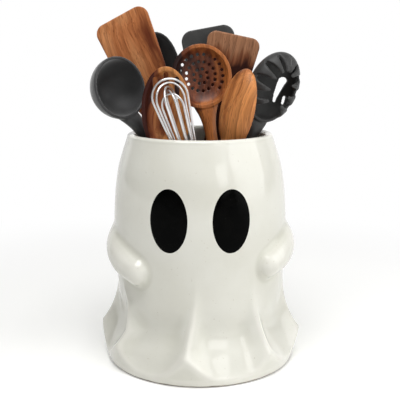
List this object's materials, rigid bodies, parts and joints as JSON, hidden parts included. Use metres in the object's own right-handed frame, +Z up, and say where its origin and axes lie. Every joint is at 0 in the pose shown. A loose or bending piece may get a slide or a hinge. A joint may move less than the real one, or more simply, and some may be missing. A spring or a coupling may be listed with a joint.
{
  "type": "utensil crock",
  "caption": "Glazed ceramic utensil crock shaped like a draped sheet with arms and oval eyes, holding lift-out wooden, silicone and steel kitchen utensils.",
  "frame": {"origin": "centre of the crock's flat underside", "axes": "+Z up, front with the eyes towards -Y, +X to the right seen from the front"},
  "size_m": [0.1814, 0.1773, 0.3077],
  "materials": {
    "white_glaze": "glossy warm white glaze",
    "black_glaze": "glossy black glaze",
    "acacia": "oiled satin, dark streaked grain",
    "walnut": "oiled satin",
    "beech": "oiled satin",
    "grey_silicone": "matte",
    "steel": "polished"
  },
  "bodies": {
    "crock": {"crock_body": "white_glaze", "left_eye": "black_glaze", "right_eye": "black_glaze"},
    "whisk": {"whisk_handle": "steel", "whisk_wire_1": "steel", "whisk_wire_2": "steel", "whisk_wire_3": "steel", "whisk_wire_4": "steel", "whisk_wire_5": "steel"},
    "wooden_spoon": {"wooden_spoon": "acacia"},
    "slotted_spoon": {"slotted_spoon": "acacia"},
    "skimmer": {"skimmer": "acacia"},
    "ladle": {"ladle_head": "grey_silicone", "ladle_handle": "beech"},
    "pasta_server": {"pasta_server_head": "grey_silicone", "pasta_server_handle": "beech"},
    "wooden_turner": {"wooden_turner": "acacia"},
    "walnut_turner": {"walnut_turner": "walnut"},
    "grey_turner": {"grey_turner_blade": "grey_silicone", "grey_turner_handle": "beech"},
    "black_spoon": {"black_spoon_head": "grey_silicone", "black_spoon_handle": "beech"}
  },
  "joints": [
    {"name": "whisk_lift", "type": "slide", "parent": "crock", "child": "whisk", "axis": [-0.2803, -0.015, 0.9598], "range_m": [0, 0.204]},
    {"name": "wooden_spoon_lift", "type": "slide", "parent": "crock", "child": "wooden_spoon", "axis": [0.2163, -0.0204, 0.9761], "range_m": [0, 0.201]},
    {"name": "slotted_spoon_lift", "type": "slide", "parent": "crock", "child": "slotted_spoon", "axis": [-0.0053, -0.0133, 0.9999], "range_m": [0, 0.196]},
    {"name": "skimmer_lift", "type": "slide", "parent": "crock", "child": "skimmer", "axis": [-0.1676, 0.0209, 0.9856], "range_m": [0, 0.199]},
    {"name": "ladle_lift", "type": "slide", "parent": "crock", "child": "ladle", "axis": [-0.2914, -0.0251, 0.9563], "range_m": [0, 0.205]},
    {"name": "pasta_server_lift", "type": "slide", "parent": "crock", "child": "pasta_server", "axis": [0.3879, 0.0024, 0.9217], "range_m": [0, 0.212]},
    {"name": "wooden_turner_lift", "type": "slide", "parent": "crock", "child": "wooden_turner", "axis": [-0.3798, -0.0049, 0.9251], "range_m": [0, 0.211]},
    {"name": "walnut_turner_lift", "type": "slide", "parent": "crock", "child": "walnut_turner", "axis": [0.2158, -0.0052, 0.9764], "range_m": [0, 0.201]},
    {"name": "grey_turner_lift", "type": "slide", "parent": "crock", "child": "grey_turner", "axis": [-0.12, 0.0099, 0.9927], "range_m": [0, 0.197]},
    {"name": "black_spoon_lift", "type": "slide", "parent": "crock", "child": "black_spoon", "axis": [-0.1761, 0.002, 0.9844], "range_m": [0, 0.199]}
  ]
}
